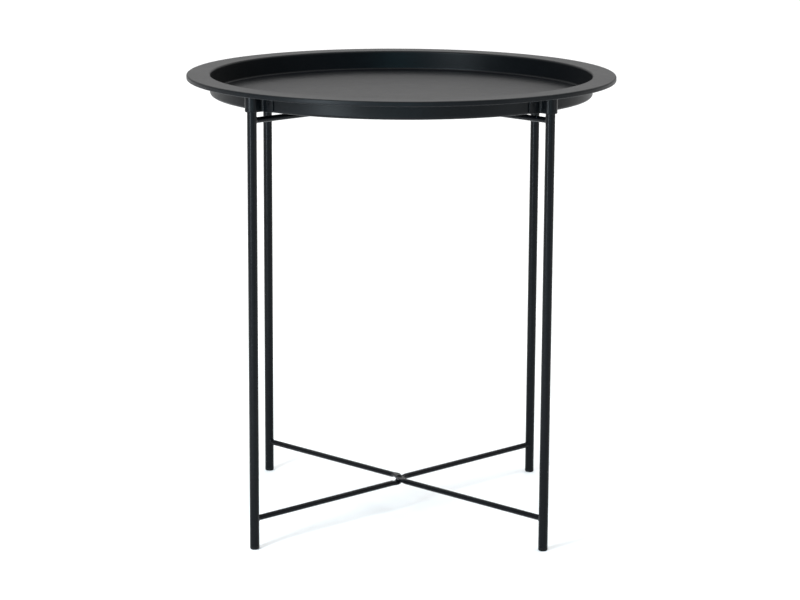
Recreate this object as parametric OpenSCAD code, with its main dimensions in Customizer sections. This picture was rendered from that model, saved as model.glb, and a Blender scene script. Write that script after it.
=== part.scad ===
// Folding side table: a round pressed steel tray that lifts off a folding stand.
// The stand is two welded frames that cross. Each frame is two tube legs joined by an
// upper and a lower rod, and the frames turn on two rivets on the centre line.
// Millimetres, +Z up, origin on the floor under the middle of the table. The front of
// the table faces -Y and +X is to its right as seen from the front.

/* [Tray] */
// Outside diameter of the rim
rim_d = 470; // [440:1:480]
// Height of the rim above the floor
table_h = 496; // [481:1:600]
// Width of the flat rim, from the wall to the turned-down edge
rim_w = 25; // [22:0.5:30]
// Depth of the tray, from the rim to the underside of its floor
tray_depth = 22.5; // [20:0.5:30]
// Height of the turned-down edge of the rim
lip_h = 5.4; // [5:0.1:7]
// Thickness of the pressed sheet
sheet_t = 1; // [0.8:0.1:1.2]

/* [Stand] */
// Outside diameter of a leg tube
leg_d = 10.2; // [9:0.1:10.5]
// Wall thickness of a leg tube
leg_wall = 1; // [0.8:0.1:1.5]
// Diameter of the cross rods
rod_d = 6.2; // [5:0.1:6.5]
// Height of the middle of the lower crossing
lower_cross_z = 34.5; // [28:0.5:60]
// Gap between the underside of the tray and the middle of the upper crossing
upper_cross_gap = 8; // [8:0.5:20]

/* [Sockets] */
// Thickness of the socket plate
socket_t = 1.8; // [1:0.1:2]
// Radial clearance between a leg and its socket
socket_clear = 0.4; // [0.3:0.05:0.5]
// Width of a socket from one wing tip to the other
socket_w = 44; // [30:1:50]

/* [Hidden] */
$fn = 96;
STEEL = "#2b2d2f";
PLASTIC = "#1b1c1d";
SPREAD = 1; // reach of a cutting shape beyond the solid that it cuts
JOIN = 0.05; // overlap that joins two lengths of sheet

// Tray, from the rim inwards and down. Bend radii are those of the outer face of a bend.
rim_r = rim_d / 2;
wall_r = rim_r - rim_w;
floor_z = table_h - tray_depth;
rim_bend_r = 2.4;
floor_bend_r = 3.2;
lip_bend_r = 1.8;
wall_lean = 0.5;
hem_t = 2 * sheet_t + 0.2;
hem_return = 1.6;

// Centres of the bends in the tray's section, and the lean that joins two of them
floor_bend = [wall_r - wall_lean - floor_bend_r, floor_z + floor_bend_r];
rim_bend = [wall_r + rim_bend_r - sheet_t, table_h - rim_bend_r];
lip_bend = [rim_r - lip_bend_r, table_h - lip_bend_r];
hem_bend = [rim_r - hem_t / 2, table_h - lip_h + hem_t / 2];
bend_gap = rim_bend - floor_bend;
lean_angle = acos((floor_bend_r + rim_bend_r - sheet_t) / norm(bend_gap))
  - atan2(bend_gap[1], bend_gap[0]);
wall_out = [cos(lean_angle), -sin(lean_angle)];
wall_up = [sin(lean_angle), cos(lean_angle)];

// The legs stand on the diagonals, clear of the tray's wall. Each rod steps sideways at its
// middle by half_step each way, so a frame's legs are leg_reach along it and half_step
// across it, and the two frames fold flat with their legs side by side.
leg_wall_gap = 4.25;
leg_orbit = wall_r + leg_wall_gap + leg_d / 2;
folded_leg_gap = 0.5;
half_step = (leg_d + folded_leg_gap) / 2;
leg_reach = sqrt(leg_orbit ^ 2 - half_step ^ 2);
frame_turn = 45 - asin(half_step / leg_orbit);
leg_top_z = table_h - sheet_t - 0.4;

// Foot: a cap under the tube with a plug that fills it
foot_h = 3.5;
foot_edge_r = 1.6;
plug_len = 14;
plug_clear = 0.05;

// Crossing: flattened lengths of rod lie one over the other on a rivet, with a washer
// between them. The upper one keeps turn_gap from the washer and the rivet head.
flat_t = 3;
flat_w = 8.6;
flat_neck_w = flat_w - 0.6;
flat_half = 9;
flare_len = 7;
plane_gap = 0.4;
turn_gap = 0.1;
washer_d = 8;
rivet_d = 3.6;
rivet_clear = 0.08;
rivet_head_d = 7.2;
rivet_head_h = 1.8;
rod_drop = 0.9;
weld_size = 1.3;
upper_cross_z = floor_z - upper_cross_gap;

// Sockets
socket_bore_d = leg_d + 2 * socket_clear;
socket_r = socket_bore_d / 2 + socket_t;
socket_z = floor_z + 0.4;
socket_h = rim_bend[1] - 0.2 - socket_z;
socket_corner_r = 2.5;

// Corners of the table: which side in X, which side in Y
FRONT_LEFT = [-1, -1];
FRONT_RIGHT = [1, -1];
BACK_LEFT = [-1, 1];
BACK_RIGHT = [1, 1];

function leg_pos(corner) = corner * leg_orbit / sqrt(2);
function leg_azimuth(corner) = atan2(corner[1], corner[0]);

// Bent length of sheet in section, between two angles
module bend(centre, r_in, r_out, from, to) {
  far = 4 * r_out;
  mid = (from + to) / 2;
  translate(centre) intersection() {
    difference() {
      circle(r = r_out);
      circle(r = r_in);
    }
    polygon([
      [0, 0],
      far * [cos(from), sin(from)],
      far * [cos(mid), sin(mid)],
      far * [cos(to), sin(to)]
    ]);
  }
}

module tray_section() {
  floor_in = floor_bend_r - sheet_t;
  rim_in = rim_bend_r - sheet_t;
  translate([0, floor_z]) square([floor_bend[0], sheet_t]);
  bend(floor_bend, floor_in, floor_bend_r, -90, -lean_angle);
  polygon([
    floor_bend + floor_in * wall_out - JOIN * wall_up,
    floor_bend + floor_bend_r * wall_out - JOIN * wall_up,
    rim_bend - rim_in * wall_out + JOIN * wall_up,
    rim_bend - rim_bend_r * wall_out + JOIN * wall_up
  ]);
  bend(rim_bend, rim_in, rim_bend_r, 90, 180 - lean_angle);
  translate([rim_bend[0], table_h - sheet_t]) square([lip_bend[0] - rim_bend[0], sheet_t]);
  bend(lip_bend, lip_bend_r - sheet_t, lip_bend_r, 0, 90);
  translate([rim_r - sheet_t, hem_bend[1]]) square([sheet_t, lip_bend[1] - hem_bend[1]]);
  bend(hem_bend, hem_t / 2 - sheet_t, hem_t / 2, 180, 360);
  translate([rim_r - hem_t, hem_bend[1]]) square([sheet_t, hem_return]);
}

module tray() {
  color(STEEL) rotate_extrude($fn = 180) tray_section();
}

// Everything inside the outer face of the tray's wall, grown outwards by some thickness
module wall_core(grow) {
  low = floor_bend + (floor_bend_r + grow) * wall_out;
  high = rim_bend - (rim_bend_r - sheet_t - grow) * wall_out;
  slope = (high[0] - low[0]) / (high[1] - low[1]);
  bottom = socket_z - SPREAD;
  top = socket_z + socket_h + SPREAD;
  rotate_extrude($fn = 180) polygon([
    [0, bottom],
    [low[0] + slope * (bottom - low[1]), bottom],
    [low[0] + slope * (top - low[1]), top],
    [0, top]
  ]);
}

// Face of a socket plate, with its lower corners rounded
module plate_face() {
  r = socket_corner_r;
  translate([-socket_w / 2, r]) square([socket_w, socket_h - r]);
  translate([-socket_w / 2 + r, 0]) square([socket_w - 2 * r, socket_h]);
  for (side = [-1, 1]) translate([side * (socket_w / 2 - r), r]) circle(r = r);
}

// Pressed socket: a half-round bulge round the leg, with a wing welded to the tray's
// wall on each side
module socket(corner) {
  color(STEEL) rotate([0, 0, leg_azimuth(corner)]) difference() {
    union() {
      intersection() {
        wall_core(socket_t);
        translate([0, 0, socket_z]) rotate([90, 0, 90]) linear_extrude(rim_r) plate_face();
      }
      translate([leg_orbit, 0, socket_z]) cylinder(r = socket_r, h = socket_h);
      translate([wall_r - 4, -socket_r, socket_z])
        cube([leg_orbit - wall_r + 4, 2 * socket_r, socket_h]);
    }
    translate([leg_orbit, 0, socket_z - SPREAD])
      cylinder(d = socket_bore_d, h = socket_h + 2 * SPREAD);
    translate([wall_r - 5, -socket_bore_d / 2, socket_z - SPREAD])
      cube([leg_orbit - wall_r + 5, socket_bore_d, socket_h + 2 * SPREAD]);
    wall_core(0);
  }
}

module leg(corner) {
  color(STEEL) translate(leg_pos(corner)) difference() {
    translate([0, 0, foot_h]) cylinder(d = leg_d, h = leg_top_z - foot_h);
    translate([0, 0, foot_h - SPREAD]) cylinder(d = leg_d - 2 * leg_wall, h = table_h);
  }
}

module foot(corner) {
  r = leg_d / 2;
  plug_r = r - leg_wall - plug_clear;
  color(PLASTIC) translate(leg_pos(corner)) rotate_extrude() {
    square([r - foot_edge_r, foot_h]);
    translate([0, foot_edge_r]) square([r, foot_h - foot_edge_r]);
    intersection() {
      translate([r - foot_edge_r, foot_edge_r]) circle(r = foot_edge_r);
      square([r, foot_edge_r]);
    }
    square([plug_r, foot_h + plug_len]);
  }
}

// Rod from the end of its flat out to the middle of a leg, along +X. Where it leaves the
// flat it is a cone between two sloping planes. A weld bead rings its far end.
module half_rod(flat_low, rod_z) {
  run = leg_reach - flat_half - flare_len;
  flare_top = rod_d / 2 + JOIN;
  translate([0, 0, rod_z]) rotate([0, 90, 0]) {
    translate([0, 0, flare_len]) cylinder(d = rod_d, h = run);
    translate([0, 0, flare_len + run - leg_d / 2 - weld_size])
      cylinder(d1 = rod_d, d2 = leg_d, h = 2 * weld_size);
  }
  intersection() {
    translate([0, 0, rod_z]) rotate([0, 90, 0]) cylinder(d1 = flat_w, d2 = rod_d, h = flare_len);
    rotate([90, 0, 0]) linear_extrude(2 * flat_w, center = true) polygon([
      [0, flat_low],
      [flare_len, rod_z - flare_top],
      [flare_len, rod_z + flare_top],
      [0, flat_low + flat_t]
    ]);
  }
}

// Cross rod of one frame, along local X through its crossing at the origin. The flat
// lies with its lower face at flat_low. The half towards +X is shifted by step in Y.
module cross_rod(step, flat_low, rod_z) {
  color(STEEL) difference() {
    union() {
      translate([0, 0, flat_low]) linear_extrude(flat_t) {
        rotate(atan2(step, flat_half))
          square([2 * norm([flat_half, step]), flat_neck_w], center = true);
        for (end = [-1, 1]) translate(end * [flat_half, step]) circle(d = flat_w);
      }
      for (turn = [0, 180]) rotate([0, 0, turn]) translate([flat_half, step, 0])
        half_rod(flat_low, rod_z);
    }
    translate([0, 0, flat_low - SPREAD])
      cylinder(d = rivet_d + 2 * rivet_clear, h = flat_t + 2 * SPREAD);
    for (end = [-1, 1]) translate([end * leg_reach, end * step, -leg_d])
      cylinder(d = leg_d, h = 2 * leg_d);
  }
}

// The under frame runs from front left to back right, and the over frame from back
// left to front right, with its rods on top
module under_rod(z) {
  translate([0, 0, z]) rotate([0, 0, frame_turn])
    cross_rod(half_step, -plane_gap - flat_t, -rod_drop);
}

module over_rod(z) {
  translate([0, 0, z]) rotate([0, 0, -frame_turn])
    cross_rod(-half_step, plane_gap, rod_drop);
}

module washer(z) {
  color(PLASTIC) translate([0, 0, z - plane_gap]) difference() {
    cylinder(d = washer_d, h = 2 * plane_gap - turn_gap);
    translate([0, 0, -SPREAD]) cylinder(d = rivet_d + 2 * rivet_clear, h = 3 * SPREAD);
  }
}

// Domed head that stands on the XY plane
module rivet_head() {
  dome_r = (rivet_head_h ^ 2 + (rivet_head_d / 2) ^ 2) / (2 * rivet_head_h);
  intersection() {
    translate([0, 0, rivet_head_h - dome_r]) sphere(r = dome_r);
    cylinder(d = rivet_head_d + SPREAD, h = rivet_head_h + SPREAD);
  }
}

module rivet(z) {
  low = -plane_gap - flat_t;
  high = plane_gap + flat_t + turn_gap;
  color(STEEL) translate([0, 0, z]) {
    translate([0, 0, low]) cylinder(d = rivet_d, h = high - low);
    translate([0, 0, high]) rivet_head();
    translate([0, 0, low]) mirror([0, 0, 1]) rivet_head();
  }
}

tray();
socket(FRONT_LEFT);  // socket_front_left
socket(FRONT_RIGHT);  // socket_front_right
socket(BACK_LEFT);  // socket_back_left
socket(BACK_RIGHT);  // socket_back_right
leg(FRONT_LEFT);  // leg_front_left
leg(FRONT_RIGHT);  // leg_front_right
leg(BACK_LEFT);  // leg_back_left
leg(BACK_RIGHT);  // leg_back_right
foot(FRONT_LEFT);  // foot_front_left
foot(FRONT_RIGHT);  // foot_front_right
foot(BACK_LEFT);  // foot_back_left
foot(BACK_RIGHT);  // foot_back_right
under_rod(upper_cross_z);  // upper_rod_under
over_rod(upper_cross_z);  // upper_rod_over
under_rod(lower_cross_z);  // lower_rod_under
over_rod(lower_cross_z);  // lower_rod_over
washer(upper_cross_z);  // upper_washer
washer(lower_cross_z);  // lower_washer
rivet(upper_cross_z);  // upper_rivet
rivet(lower_cross_z);  // lower_rivet
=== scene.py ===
"""Looks for the folding side table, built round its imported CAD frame. Metres, +Z up.

The leg tubes, the feet, the washers and the rivets stay as the CAD made them and get
procedural finishes. The tray, the rods, their weld beads and the sockets are new meshes.
"""

import math

import bmesh
import bpy
from mathutils import Matrix, Vector


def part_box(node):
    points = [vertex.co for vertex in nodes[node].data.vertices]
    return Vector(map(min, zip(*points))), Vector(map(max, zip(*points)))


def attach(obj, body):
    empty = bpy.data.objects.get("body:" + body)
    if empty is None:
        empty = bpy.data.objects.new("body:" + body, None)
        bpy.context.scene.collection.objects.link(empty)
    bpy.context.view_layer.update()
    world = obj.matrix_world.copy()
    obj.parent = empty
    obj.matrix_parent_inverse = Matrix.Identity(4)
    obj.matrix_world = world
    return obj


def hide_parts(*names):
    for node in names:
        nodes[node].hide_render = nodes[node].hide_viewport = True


MM = 0.001
CORNERS = ("front_left", "front_right", "back_left", "back_right")

# Sizes that the frame's boxes don't give, the same as in the CAD source
LEG_R = 5.1 * MM
HALF_STEP = 5.35 * MM
ROD_R = 3.1 * MM
ROD_DROP = 0.9 * MM
FLAT_T = 3.0 * MM
FLAT_W = 8.6 * MM
FLAT_HALF = 9.0 * MM
FLARE_LEN = 7.0 * MM
PLANE_GAP = 0.4 * MM
RIVET_HOLE_R = 1.88 * MM
WELD_DEPTH = 0.92 * MM
SOCKET_T = 1.8 * MM
SOCKET_BORE_R = 5.5 * MM
SOCKET_W = 44.0 * MM
SOCKET_CORNER_R = 2.5 * MM
SOCKET_BEND_R = 3.2 * MM
RIM_W = 25.0 * MM
WALL_LEAN = 0.5 * MM
FLOOR_BEND_R = 3.2 * MM
RIM_BEND_R = 2.4 * MM
LIP_BEND_R = 1.8 * MM
LIP_H = 5.4 * MM
SHEET_T = 1.0 * MM
HEM_T = 2.2 * MM
HEM_RETURN = 1.6 * MM

# How the rods' meshes are divided and shaped
ROD_SIDES = 40
STATION_GAP = 0.5 * MM  # between sections over the crossing
COARSE_RUNS = 16  # sections from there to each end
STEP_SOFTNESS = 0.035
EDGE_SQUARENESS = 3.0  # of the flattened section, 0 for an ellipse

# The weld beads at the rods' ends
WELD_SIZE = 1.05 * MM
WELD_RINGS = 72
WELD_ARC_STEPS = 8
WELD_SUNK = 0.45 * MM  # the bead's root, inside the rod and the leg
WELD_TOE_SUNK = 0.1 * MM

# The sockets' small roundings, spot welds and mesh steps
SOCKET_GAP = 0.02 * MM  # to the tray's wall
SOCKET_EDGE_R = 0.45 * MM
SOCKET_TIP_R = 0.75 * MM
SOCKET_LEVELS = 40
WING_STEPS = 34
BEND_STEPS = 9
FLANK_STEPS = 5
BULGE_STEPS = 16
SPOT_AT = 15.6 * MM  # from the leg's middle, along the wing
SPOT_R = 2.3 * MM
SPOT_EDGE = 0.9 * MM
SPOT_DEPTH = 0.18 * MM

TRAY_SIDES = 288

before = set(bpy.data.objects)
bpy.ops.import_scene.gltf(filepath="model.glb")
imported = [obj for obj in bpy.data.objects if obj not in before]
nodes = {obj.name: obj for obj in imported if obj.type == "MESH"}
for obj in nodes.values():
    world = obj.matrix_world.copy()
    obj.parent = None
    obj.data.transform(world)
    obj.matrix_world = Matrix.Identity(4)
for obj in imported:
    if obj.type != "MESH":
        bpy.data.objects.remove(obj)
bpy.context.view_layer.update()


# ---------------------------------------------------------------- materials


class Nodes:
    """A short way to write a node tree."""

    def __init__(self, tree):
        self.tree = tree
        tree.nodes.clear()

    def add(self, kind, inputs=None, **settings):
        node = self.tree.nodes.new(kind)
        for key, value in settings.items():
            setattr(node, key, value)
        for key, value in (inputs or {}).items():
            if isinstance(value, bpy.types.NodeSocket):
                self.tree.links.new(value, node.inputs[key])
            else:
                node.inputs[key].default_value = value
        return node

    def noise(self, coords, scale, detail, roughness):
        made = self.add(
            "ShaderNodeTexNoise",
            {"Vector": coords, "Scale": scale, "Detail": detail, "Roughness": roughness},
        )
        return made.outputs["Fac"]

    def ramp(self, value, low, high, to_low, to_high):
        made = self.add(
            "ShaderNodeMapRange",
            {
                "Value": value,
                "From Min": low,
                "From Max": high,
                "To Min": to_low,
                "To Max": to_high,
            },
        )
        return made.outputs["Result"]

    def maths(self, operation, a, b):
        made = self.add("ShaderNodeMath", {0: a, 1: b}, operation=operation)
        return made.outputs[0]

    def mix(self, factor, a, b):
        made = self.add(
            "ShaderNodeMix",
            {"Factor": factor, "A": a, "B": b},
            data_type="RGBA",
        )
        return made.outputs["Result"]


def new_material(name):
    material = bpy.data.materials.new(name)
    material.use_nodes = True
    return material, Nodes(material.node_tree)


def powder_coat(name, dark, light, rough, peel, specular):
    """Satin powder coat: orange peel about 1.5 mm across, a finer grain, and slow drifts of
    gloss and tone where the film is thicker or thinner."""
    material, n = new_material(name)
    coords = n.add("ShaderNodeTexCoord").outputs["Object"]
    drift = n.noise(coords, 14.0, 3.0, 0.55)
    patches = n.noise(coords, 95.0, 3.0, 0.6)
    orange_peel = n.noise(coords, 620.0, 2.0, 0.45)
    grain = n.noise(coords, 3600.0, 1.0, 0.5)
    tone = n.maths(
        "ADD", n.maths("MULTIPLY", patches, 0.4), n.maths("MULTIPLY", drift, 0.6)
    )
    colour = n.mix(n.ramp(tone, 0.3, 0.7, 0.0, 1.0), (*dark, 1), (*light, 1))
    gloss = n.maths(
        "ADD", n.ramp(tone, 0.3, 0.7, *rough), n.ramp(grain, 0.3, 0.7, -0.02, 0.02)
    )
    coarse = n.add(
        "ShaderNodeBump",
        {"Strength": peel, "Distance": 0.12 * MM, "Height": orange_peel},
    )
    fine = n.add(
        "ShaderNodeBump",
        {
            "Strength": 0.12,
            "Distance": 0.02 * MM,
            "Height": grain,
            "Normal": coarse.outputs["Normal"],
        },
    )
    shader = n.add(
        "ShaderNodeBsdfPrincipled",
        {
            "Base Color": colour,
            "Roughness": gloss,
            "Normal": fine.outputs["Normal"],
            "Specular IOR Level": specular,
        },
    )
    n.add("ShaderNodeOutputMaterial", {"Surface": shader.outputs["BSDF"]})
    return material


def moulded(name, dark, light, rough, highlight_top):
    """Matte moulded plastic with a spark-eroded grain and a painted highlight, paler near
    the ground.
    """
    material, n = new_material(name)
    coords = n.add("ShaderNodeTexCoord").outputs["Object"]
    height = n.add("ShaderNodeSeparateXYZ", {0: coords}).outputs["Z"]
    patches = n.noise(coords, 260.0, 3.0, 0.6)
    grain = n.noise(coords, 2300.0, 3.0, 0.7)
    # Painted highlight: the colour turns paler in patches, fading out above the given height
    # over the ground
    low_down = n.ramp(height, 0.0, highlight_top, 1.0, 0.0)
    painted_highlight = n.maths("MULTIPLY", low_down, n.ramp(patches, 0.4, 0.65, 0.2, 1.0))
    colour = n.mix(painted_highlight, (*dark, 1), (*light, 1))
    gloss = n.ramp(patches, 0.3, 0.7, *rough)
    bump = n.add(
        "ShaderNodeBump", {"Strength": 0.35, "Distance": 0.06 * MM, "Height": grain}
    )
    shader = n.add(
        "ShaderNodeBsdfPrincipled",
        {
            "Base Color": colour,
            "Roughness": gloss,
            "Normal": bump.outputs["Normal"],
            "Specular IOR Level": 0.16,
        },
    )
    n.add("ShaderNodeOutputMaterial", {"Surface": shader.outputs["BSDF"]})
    return material


TRAY_PAINT = powder_coat(
    "tray_paint",
    dark=(0.0020, 0.0026, 0.0033),
    light=(0.0036, 0.0044, 0.0054),
    rough=(0.37, 0.43),
    peel=0.30,
    specular=0.13,
)
SOCKET_PAINT = powder_coat(
    "socket_paint",
    dark=(0.0014, 0.0019, 0.0026),
    light=(0.0028, 0.0036, 0.0046),
    rough=(0.28, 0.36),
    peel=0.30,
    specular=0.13,
)
STAND_PAINT = powder_coat(
    "stand_paint",
    dark=(0.0014, 0.0019, 0.0026),
    light=(0.0026, 0.0034, 0.0045),
    rough=(0.22, 0.30),
    peel=0.25,
    specular=0.12,
)
RIVET_PAINT = powder_coat(
    "rivet_paint",
    dark=(0.0024, 0.0030, 0.0038),
    light=(0.0040, 0.0050, 0.0062),
    rough=(0.28, 0.36),
    peel=0.35,
    specular=0.16,
)
# The paler colour is a painted highlight on the foot's lower end
FOOT_PLASTIC = moulded(
    "foot_plastic",
    dark=(0.0026, 0.0027, 0.0030),
    light=(0.0075, 0.0076, 0.0080),
    rough=(0.46, 0.58),
    highlight_top=4 * MM,
)
WASHER_PLASTIC = moulded(
    "washer_plastic",
    dark=(0.0040, 0.0040, 0.0044),
    light=(0.0070, 0.0070, 0.0075),
    rough=(0.50, 0.60),
    highlight_top=1 * MM,
)


def paint(obj, material):
    obj.data.materials.clear()
    obj.data.materials.append(material)
    return obj


# ---------------------------------------------------------------- meshes


def add_mesh(name, verts, faces, material, body):
    mesh = bpy.data.meshes.new(name)
    mesh.from_pydata([tuple(v) for v in verts], [], faces)
    bm = bmesh.new()
    bm.from_mesh(mesh)
    bmesh.ops.remove_doubles(bm, verts=bm.verts, dist=1e-7)
    bmesh.ops.recalc_face_normals(bm, faces=bm.faces)
    bm.to_mesh(mesh)
    bm.free()
    for polygon in mesh.polygons:
        polygon.use_smooth = True
    obj = bpy.data.objects.new(name, mesh)
    bpy.context.scene.collection.objects.link(obj)
    paint(obj, material)
    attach(obj, body)
    return obj


def loft(rings, capped=True):
    """Vertices and faces that join closed rings of the same count, one after the other."""
    count = len(rings[0])
    verts = [point for ring in rings for point in ring]
    faces = []
    for i in range(len(rings) - 1):
        for j in range(count):
            a, b = i * count + j, i * count + (j + 1) % count
            faces.append((a, b, b + count, a + count))
    if capped:
        last = (len(rings) - 1) * count
        faces.append(tuple(range(count))[::-1])
        faces.append(tuple(last + j for j in range(count)))
    return verts, faces


def ease(t):
    t = min(1.0, max(0.0, t))
    return t * t * (3 - 2 * t)


def ease_ends(t):
    """From 0 to 1 like t, with the first and last steps drawn out finer."""
    return 0.5 - 0.5 * math.copysign(abs(1 - 2 * t) ** 0.7, 1 - 2 * t)


def sign_power(value, power):
    return math.copysign(abs(value) ** power, value)


def middle(node):
    low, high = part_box(node)
    return (low + high) / 2


# ---------------------------------------------------------------- rods

LEG_AT = {corner: middle("leg_" + corner) for corner in CORNERS}
ORBIT = Vector(LEG_AT["back_right"].xy).length
LEG_REACH = math.sqrt(ORBIT**2 - HALF_STEP**2)
FRAME_TURN = math.atan2(LEG_AT["back_right"].y, LEG_AT["back_right"].x) - math.asin(
    HALF_STEP / ORBIT
)
CROSS_Z = {
    level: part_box(level + "_washer")[0].z + PLANE_GAP for level in ("upper", "lower")
}


def side_step(x, step):
    """How far a rod's line is stepped to the side at x, with soft corners to the step."""
    soft = STEP_SOFTNESS**0.5
    u = x / FLAT_HALF
    return step * (math.hypot(u + 1, soft) - math.hypot(u - 1, soft)) / 2


def rod_ring(x, step, flat_z, rod_z):
    """Section of a rod at x: round along the run, flattened with rounded edges at the
    crossing."""
    h = 0.05 * MM
    slope = (side_step(x + h, step) - side_step(x - h, step)) / (2 * h)
    across = Vector((-slope, 1.0, 0.0)).normalized()
    flat = ease((FLAT_HALF + FLARE_LEN - abs(x)) / FLARE_LEN)
    half_w = ROD_R + (FLAT_W / 2 - ROD_R) * flat
    half_t = ROD_R + (FLAT_T / 2 - ROD_R) * flat
    power = 2 / (2 + EDGE_SQUARENESS * flat)
    centre = Vector((x, side_step(x, step), rod_z + (flat_z - rod_z) * flat))
    ring = []
    for i in range(ROD_SIDES):
        angle = 2 * math.pi * i / ROD_SIDES
        ring.append(
            centre
            + across * half_w * sign_power(math.cos(angle), power)
            + Vector((0, 0, half_t * sign_power(math.sin(angle), power)))
        )
    return ring


def rod_stations():
    """Places along a rod, close together over the flattened crossing."""
    end = LEG_REACH - LEG_R + WELD_DEPTH
    fine_end = FLAT_HALF + FLARE_LEN + 2 * MM
    fine = [i * STATION_GAP for i in range(int(fine_end / STATION_GAP) + 1)]
    coarse = [
        fine_end + (end - fine_end) * (i + 1) / COARSE_RUNS for i in range(COARSE_RUNS)
    ]
    half = fine + coarse
    return [-x for x in reversed(half[1:])] + half


def drill(obj, z):
    """Cuts the rivet hole through a flattened rod."""
    bm = bmesh.new()
    bmesh.ops.create_cone(
        bm,
        cap_ends=True,
        segments=48,
        radius1=RIVET_HOLE_R,
        radius2=RIVET_HOLE_R,
        depth=12 * MM,
        matrix=Matrix.Translation((0, 0, z)),
    )
    mesh = bpy.data.meshes.new("drill")
    bm.to_mesh(mesh)
    bm.free()
    cutter = bpy.data.objects.new("drill", mesh)
    bpy.context.scene.collection.objects.link(cutter)
    cut = obj.modifiers.new("hole", "BOOLEAN")
    cut.operation = "DIFFERENCE"
    cut.solver = "EXACT"
    cut.object = cutter
    bpy.context.view_layer.update()
    graph = bpy.context.evaluated_depsgraph_get()
    drilled = bpy.data.meshes.new_from_object(obj.evaluated_get(graph))
    obj.modifiers.clear()
    obj.data = drilled
    bpy.data.objects.remove(cutter)
    bm = bmesh.new()
    bm.from_mesh(drilled)
    for edge in bm.edges:
        edge.smooth = edge.calc_face_angle(0.0) < math.radians(35)
    bm.to_mesh(drilled)
    bm.free()


def make_rod(level, over):
    node = f"{level}_rod_{'over' if over else 'under'}"
    body = "over_frame" if over else "under_frame"
    side = 1 if over else -1
    step = -side * HALF_STEP
    flat_z = side * (PLANE_GAP + FLAT_T / 2)
    place = Matrix.Translation((0, 0, CROSS_Z[level])) @ Matrix.Rotation(
        -side * FRAME_TURN, 4, "Z"
    )
    rings = [rod_ring(x, step, flat_z, side * ROD_DROP) for x in rod_stations()]
    verts, faces = loft(rings)
    obj = add_mesh(
        node + "_bar", [place @ v for v in verts], faces, STAND_PAINT, body
    )
    drill(obj, CROSS_Z[level])
    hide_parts(node)
    for end in (1, -1):
        make_weld(node, body, place, end, step, side * ROD_DROP, over)


def make_weld(node, body, place, end, step, rod_z, over):
    """Fillet weld round the end of a rod, with the uneven toes and the ripples of a bead
    laid by hand."""
    seed = 1.7 * end + (2.9 if over else 0.0) + (4.3 if node.startswith("upper") else 0.0)
    rings = []
    for i in range(WELD_RINGS):
        u = 2 * math.pi * i / WELD_RINGS
        lumps = 1 + 0.13 * math.sin(2 * u + seed) + 0.07 * math.sin(5 * u + 2.1 * seed)
        ripple = 1 + 0.05 * math.sin(17 * u + seed)
        w_leg = WELD_SIZE * lumps
        w_rod = WELD_SIZE * lumps * (1.12 + 0.06 * math.sin(3 * u - seed))
        section = [(-WELD_SUNK, -WELD_SUNK)]
        for k in range(WELD_ARC_STEPS + 1):
            a = math.pi / 2 * k / WELD_ARC_STEPS
            straight = 1 / (math.cos(a) + math.sin(a))
            is_toe = k in (0, WELD_ARC_STEPS)
            reach = 1 if is_toe else (0.35 * straight + 0.65 * 0.92) * ripple
            section.append((reach * w_leg * math.sin(a), reach * w_rod * math.cos(a)))
        section[1] = (-WELD_TOE_SUNK, section[1][1])
        section[-1] = (section[-1][0], -WELD_TOE_SUNK)
        ring = []
        for out, back in section:
            rho = ROD_R + out
            y, z = rho * math.cos(u), rho * math.sin(u)
            x = LEG_REACH - math.sqrt(LEG_R**2 - y**2) - back
            ring.append(place @ Vector((end * x, end * step + y, rod_z + z)))
        rings.append(ring)
    rings.append(rings[0])
    verts, faces = loft(rings, capped=False)
    suffix = "a" if end > 0 else "b"
    add_mesh(f"weld_{node}_{suffix}", verts, faces, STAND_PAINT, body)


for level in ("upper", "lower"):
    for over in (False, True):
        make_rod(level, over)


# ---------------------------------------------------------------- tray

TRAY_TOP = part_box("tray")[1].z
TRAY_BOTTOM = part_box("tray")[0].z
# The many-sided CAD tray is narrowest along +Y, so this keeps the round one inside its box
RIM_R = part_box("tray")[1].y
WALL_R = RIM_R - RIM_W


def arc(centre, radius, start, end, steps=12):
    """Points on an arc in the plane of the tray's section, angles in degrees."""
    points = []
    for i in range(steps + 1):
        a = math.radians(start + (end - start) * i / steps)
        points.append((centre[0] + radius * math.cos(a), centre[1] + radius * math.sin(a)))
    return points


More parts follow.
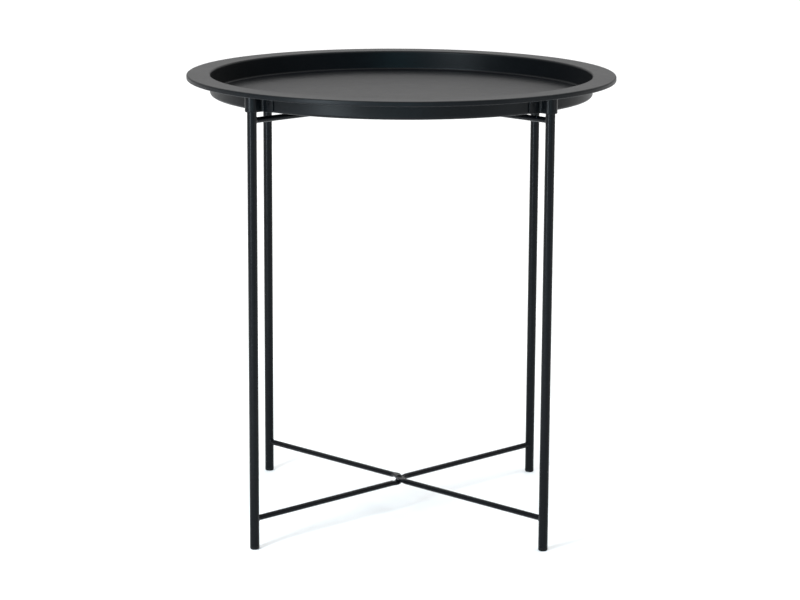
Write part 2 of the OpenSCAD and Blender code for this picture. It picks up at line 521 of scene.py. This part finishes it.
def tray_section():
    """Outline of the pressed sheet in section, from the axis along the underside, round
    the rolled hem and back over the top to the axis."""
    floor_c = (WALL_R - WALL_LEAN - FLOOR_BEND_R, TRAY_BOTTOM + FLOOR_BEND_R)
    rim_c = (WALL_R + RIM_BEND_R - SHEET_T, TRAY_TOP - RIM_BEND_R)
    lip_c = (RIM_R - LIP_BEND_R, TRAY_TOP - LIP_BEND_R)
    hem_c = (RIM_R - HEM_T / 2, TRAY_TOP - LIP_H + HEM_T / 2)
    gap = (rim_c[0] - floor_c[0], rim_c[1] - floor_c[1])
    lean = math.degrees(
        math.acos((FLOOR_BEND_R + RIM_BEND_R - SHEET_T) / math.hypot(*gap))
        - math.atan2(gap[1], gap[0])
    )
    hem_out, hem_in = HEM_T / 2, HEM_T / 2 - SHEET_T
    under = [(r, TRAY_BOTTOM) for r in floor_rings(floor_c[0])]
    under += arc(floor_c, FLOOR_BEND_R, -90, -lean)
    under += arc(rim_c, RIM_BEND_R - SHEET_T, 180 - lean, 90)
    under += arc(lip_c, LIP_BEND_R - SHEET_T, 90, 0, 8)
    under += arc(hem_c, hem_in, 360, 180, 8)
    under += [(hem_c[0] - hem_in, hem_c[1] + HEM_RETURN)]
    under += [(hem_c[0] - hem_out, hem_c[1] + HEM_RETURN)]
    over = arc(hem_c, hem_out, 180, 360, 16)
    over += arc(lip_c, LIP_BEND_R, 0, 90)
    over += arc(rim_c, RIM_BEND_R, 90, 180 - lean, 14)
    over += arc(floor_c, FLOOR_BEND_R - SHEET_T, -lean, -90)
    over += [(r, TRAY_BOTTOM + SHEET_T) for r in reversed(floor_rings(floor_c[0]))]
    return with_loops(under + over)


def floor_rings(end):
    """Radii of the rings that the flat floor is divided into, close together at its rim."""
    return [end * (i / 12) ** 0.7 for i in range(1, 12)]


def with_loops(points):
    """The same outline with an extra point just inside each end of every long straight, so
    that the smooth shading of a bend doesn't reach over the flat beside it."""
    margin = 0.25 * MM
    made = []
    for a, b in zip(points, points[1:]):
        made.append(a)
        length = math.dist(a, b)
        if length > 6 * margin:
            for share in (margin / length, 0.5, 1 - margin / length):
                made.append((a[0] + (b[0] - a[0]) * share, a[1] + (b[1] - a[1]) * share))
    return made + [points[-1]]


def make_tray():
    section = tray_section()
    verts = [(0.0, 0.0, section[0][1])]
    for i in range(TRAY_SIDES):
        a = 2 * math.pi * i / TRAY_SIDES
        verts += [(r * math.cos(a), r * math.sin(a), z) for r, z in section]
    verts.append((0.0, 0.0, section[-1][1]))
    row, last = len(section), len(verts) - 1
    faces = []
    for i in range(TRAY_SIDES):
        a, b = 1 + i * row, 1 + (i + 1) % TRAY_SIDES * row
        faces.append((0, b, a))
        faces += [(a + k, b + k, b + k + 1, a + k + 1) for k in range(row - 1)]
        faces.append((last, a + row - 1, b + row - 1))
    obj = add_mesh("tray_shell", verts, faces, TRAY_PAINT, "tray_top")
    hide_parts("tray")


make_tray()


# ---------------------------------------------------------------- sockets


def wall_radius(z):
    """Radius of the outer face of the tray's wall at a height."""
    low, high = TRAY_BOTTOM + FLOOR_BEND_R, TRAY_TOP - RIM_BEND_R
    share = (z - low) / (high - low)
    return WALL_R - WALL_LEAN * (1 - max(0.0, share))


BULGE_R = SOCKET_BORE_R + SOCKET_T / 2
WING_START = BULGE_R + SOCKET_BEND_R
WING_TIP = SOCKET_W / 2


def socket_line():
    """Middle line of a socket's sheet on the side of positive Y, from the wing's tip to
    the crown of the bulge, as (kind, value) so that the wing can follow the wall."""
    round_tip = (0.0, 0.08, 0.213, 0.4, 0.667, 1.0)
    line = [("wing", WING_TIP - share * SOCKET_TIP_R) for share in round_tip]
    straight = WING_TIP - SOCKET_TIP_R - WING_START
    for i in range(1, WING_STEPS + 1):
        line.append(("wing", WING_TIP - SOCKET_TIP_R - straight * i / WING_STEPS))
    for i in range(1, BEND_STEPS + 1):
        line.append(("bend", math.pi / 2 * i / BEND_STEPS))
    for i in range(1, FLANK_STEPS):
        line.append(("flank", i / FLANK_STEPS))
    for i in range(BULGE_STEPS + 1):
        line.append(("bulge", math.pi / 2 * (1 - i / BULGE_STEPS)))
    return line


def socket_point(kind, value, side, z):
    """Point on the middle line and the outward normal there."""
    wall = wall_radius(z) + SOCKET_T / 2 + SOCKET_GAP
    lean = math.asin(WING_START / wall)
    bend_x = math.sqrt(wall**2 - WING_START**2) + SOCKET_BEND_R * math.cos(lean)
    if kind == "wing":
        point = (math.sqrt(wall**2 - value**2), value)
        normal = (point[0] / wall, value / wall)
    elif kind == "bend":
        normal = (math.cos(value), math.sin(value))
        point = (bend_x - SOCKET_BEND_R * normal[0], WING_START - SOCKET_BEND_R * normal[1])
    elif kind == "flank":
        point = (bend_x + (ORBIT - bend_x) * value, BULGE_R)
        normal = (0.0, 1.0)
    else:
        normal = (math.cos(value), math.sin(value))
        point = (ORBIT + BULGE_R * normal[0], BULGE_R * normal[1])
    return (point[0], side * point[1]), (normal[0], side * normal[1])


def rounding(to_edge, radius):
    """How far a rounded edge has drawn in at a distance from where the sheet ends."""
    near = max(0.0, radius - to_edge)
    return radius - math.sqrt(radius**2 - near**2)


def spot_mark(along, above_middle):
    """Depth of the dimple that a spot weld leaves in a wing."""
    d = math.hypot(along - SPOT_AT, above_middle)
    return SPOT_DEPTH * ease((SPOT_R - d) / SPOT_EDGE)


def socket_section(kind, value, side, z_low, z_high):
    """Closed section of a socket's sheet across the middle line at one place along it."""
    on_wing = kind == "wing"
    to_tip = WING_TIP - value if on_wing else SOCKET_W
    inset = rounding(to_tip, SOCKET_CORNER_R)
    bottom, top = z_low + inset, z_high - 0.6 * inset
    outer, inner = [], []
    for j in range(SOCKET_LEVELS + 1):
        z = bottom + (top - bottom) * ease_ends(j / SOCKET_LEVELS)
        (x, y), (nx, ny) = socket_point(kind, value, side, z)
        drawn_in = max(
            rounding(min(z - bottom, top - z), SOCKET_EDGE_R),
            rounding(to_tip, SOCKET_TIP_R),
        )
        dent = spot_mark(value, z - (z_low + z_high) / 2) if on_wing else 0.0
        face = SOCKET_T / 2 - drawn_in - dent
        outer.append(Vector((x + nx * face, y + ny * face, z)))
        inner.append(Vector((x - nx * SOCKET_T / 2, y - ny * SOCKET_T / 2, z)))
    return outer + inner[::-1]


def make_socket(corner):
    node = "socket_" + corner
    low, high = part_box(node)
    turn = Matrix.Rotation(math.atan2(LEG_AT[corner].y, LEG_AT[corner].x), 4, "Z")
    half = socket_line()
    line = [(k, v, 1) for k, v in half] + [(k, v, -1) for k, v in reversed(half[:-1])]
    rings = [socket_section(k, v, side, low.z, high.z) for k, v, side in line]
    verts, faces = loft(rings)
    obj = add_mesh(
        node + "_bracket",
        [turn @ v for v in verts],
        faces,
        SOCKET_PAINT,
        "tray_top",
    )
    bevel = obj.modifiers.new("edge", "BEVEL")
    bevel.width = 0.12 * MM
    bevel.segments = 2
    bevel.limit_method = "ANGLE"
    bevel.angle_limit = math.radians(50)
    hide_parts(node)


for corner in CORNERS:
    make_socket(corner)


# ---------------------------------------------------------------- CAD nodes that stay

for corner in CORNERS:
    paint(nodes["leg_" + corner], STAND_PAINT)
    paint(nodes["foot_" + corner], FOOT_PLASTIC)
for level in ("upper", "lower"):
    paint(nodes[level + "_washer"], WASHER_PLASTIC)
    paint(nodes[level + "_rivet"], RIVET_PAINT)


# ---------------------------------------------------------------- floor, light, camera


def make_floor():
    size = 30.0
    mesh = bpy.data.meshes.new("floor")
    mesh.from_pydata(
        [(-size, -size, 0), (size, -size, 0), (size, size, 0), (-size, size, 0)],
        [],
        [(0, 1, 2, 3)],
    )
    obj = bpy.data.objects.new("floor", mesh)
    bpy.context.scene.collection.objects.link(obj)
    material, n = new_material("floor")
    shader = n.add(
        "ShaderNodeBsdfPrincipled",
        {
            "Base Color": (0.9, 0.9, 0.9, 1),
            "Roughness": 0.85,
            "Specular IOR Level": 0.2,
        },
    )
    n.add("ShaderNodeOutputMaterial", {"Surface": shader.outputs["BSDF"]})
    obj.data.materials.append(material)


def make_world():
    """A white studio: bright behind and overhead, dimmer behind the camera."""
    world = bpy.data.worlds.new("studio")
    bpy.context.scene.world = world
    world.use_nodes = True
    n = Nodes(world.node_tree)
    direction = n.add("ShaderNodeTexCoord").outputs["Generated"]
    parts = n.add("ShaderNodeSeparateXYZ", {0: direction}).outputs
    round_about = n.ramp(parts["Y"], -0.7, 0.7, 0.04, 0.60)
    overhead = n.ramp(parts["Z"], 0.2, 0.9, 0.0, 0.55)
    strength = n.maths("ADD", round_about, overhead)
    back = n.add("ShaderNodeBackground", {"Color": (1, 1, 1, 1), "Strength": strength})
    n.add("ShaderNodeOutputWorld", {"Surface": back.outputs["Background"]})


def make_softbox(name, place, aim, width, height, power, colour=(1, 1, 1)):
    light = bpy.data.lights.new(name, "AREA")
    light.shape = "RECTANGLE"
    light.size, light.size_y = width, height
    light.energy = power
    light.color = colour
    obj = bpy.data.objects.new(name, light)
    bpy.context.scene.collection.objects.link(obj)
    obj.location = place
    obj.rotation_mode = "QUATERNION"
    obj.rotation_quaternion = (Vector(aim) - Vector(place)).to_track_quat("-Z", "Y")
    obj.visible_camera = False


def make_overhead():
    """One very wide soft light straight above, which keeps the floor evenly white."""
    light = bpy.data.lights.new("overhead", "SUN")
    light.energy = 1.8
    light.angle = math.radians(100)
    obj = bpy.data.objects.new("overhead", light)
    bpy.context.scene.collection.objects.link(obj)
    obj.location = (0, 0, 3)


def make_camera():
    """A long lens about 2.8 m in front of the table, looking down on it."""
    place = Vector((0.00174, -2.81876, 0.84589))
    pitch, yaw, roll = 0.2112, -0.0007, 0.0054
    data = bpy.data.cameras.new("camera")
    data.sensor_width = 36.0
    data.lens = 116.23
    data.clip_start, data.clip_end = 0.1, 100.0
    obj = bpy.data.objects.new("camera", data)
    bpy.context.scene.collection.objects.link(obj)
    level_forward = Vector((math.sin(yaw), math.cos(yaw), 0))
    forward = level_forward * math.cos(pitch) - Vector((0, 0, math.sin(pitch)))
    right = Vector((math.cos(yaw), -math.sin(yaw), 0))
    up = right.cross(forward)
    rolled_right = math.cos(roll) * right + math.sin(roll) * up
    rolled_up = math.cos(roll) * up - math.sin(roll) * right
    turn = Matrix((rolled_right, rolled_up, -forward)).transposed()
    obj.matrix_world = Matrix.Translation(place) @ turn.to_4x4()
    bpy.context.scene.camera = obj


make_floor()
make_world()
make_overhead()
# The long highlight on the left third of each leg, and a fainter one on its right
make_softbox("left_box", (-0.86, -1.08, 0.66), (0, 0, 0.3), 0.24, 1.1, 19, (0.80, 0.92, 1.0))
make_softbox("right_box", (1.1, -0.6, 0.65), (0, 0, 0.3), 0.14, 1.2, 1.6, (0.82, 0.93, 1.0))
# The cool light on the turned-down edge and in the tray's far wall
make_softbox("front_box", (-1.6, -2.6, 1.9), (0, 0, 0.45), 1.0, 0.7, 26, (0.66, 0.87, 1.0))
make_softbox("low_box", (0.1, -3.3, 0.78), (0, 0, 0.48), 0.9, 0.3, 14, (0.35, 0.82, 1.0))
# The sheen over the tray's floor and rim
make_softbox("back_box", (0.2, 3.2, 2.0), (0, 0, 0.45), 3.4, 1.0, 9.5, (1.0, 0.99, 0.97))
make_camera()
bpy.context.scene.view_settings.view_transform = "Standard"
